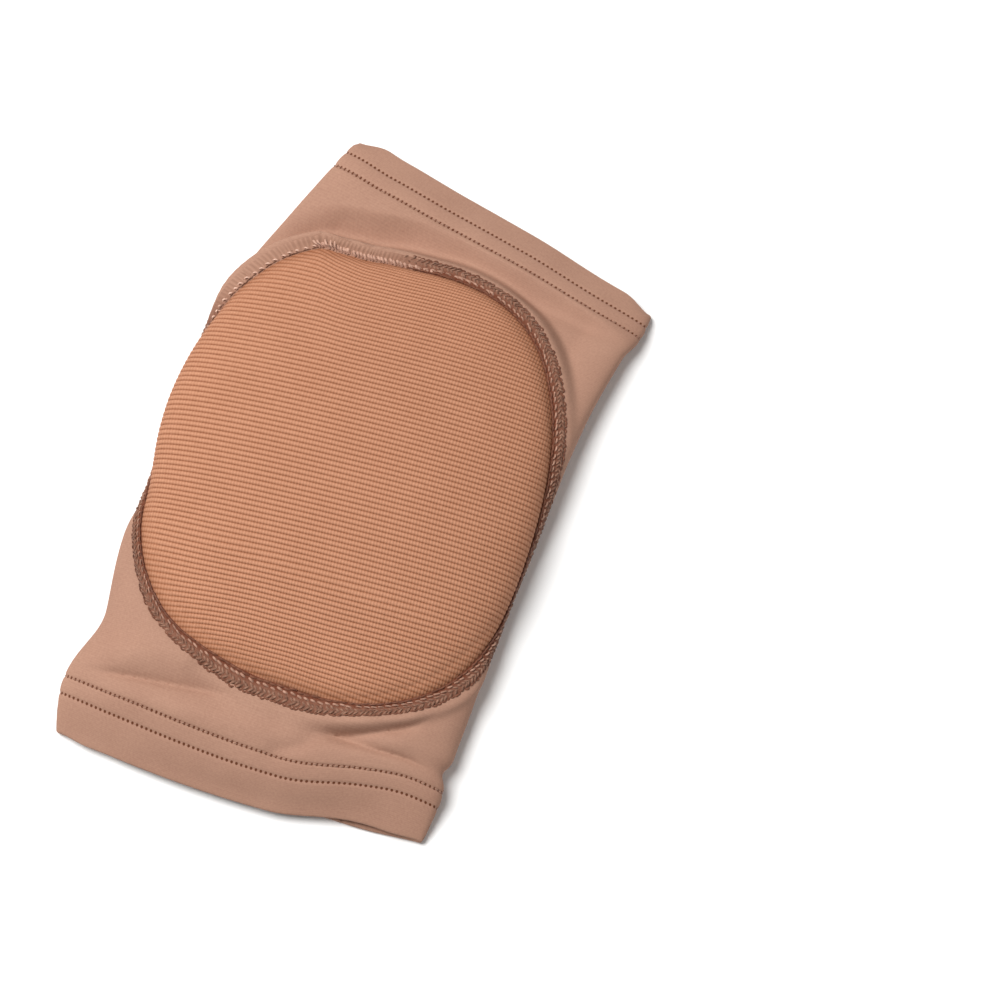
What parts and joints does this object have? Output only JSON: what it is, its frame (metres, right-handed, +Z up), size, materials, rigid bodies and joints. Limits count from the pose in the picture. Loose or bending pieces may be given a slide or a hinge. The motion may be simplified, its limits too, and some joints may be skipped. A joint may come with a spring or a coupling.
{
  "type": "dance knee pad",
  "caption": "Pull-on stretch-knit knee sleeve with an oval ribbed foam pad let into the front, flat back seams and stitched hems, lying pad up.",
  "frame": {"origin": "on the table, under the middle of the part's bounding box", "axes": "+X across the leg, +Y along the leg from the thigh hem to the calf hem, +Z up out of the pad's face"},
  "size_m": [0.1414, 0.2324, 0.0316],
  "materials": {
    "sleeve_knit": "smooth matte stretch knit, tan",
    "rib_knit": "fine matte rib knit, warmer tan",
    "seam_thread": "matte stitching thread, brown"
  },
  "bodies": {
    "root": {"front_panel": "sleeve_knit", "back_panel": "sleeve_knit", "knee_pad": "rib_knit", "pad_seam": "seam_thread", "left_back_seam": "seam_thread", "right_back_seam": "seam_thread", "thigh_hem": "sleeve_knit", "calf_hem": "sleeve_knit"}
  },
  "joints": []
}
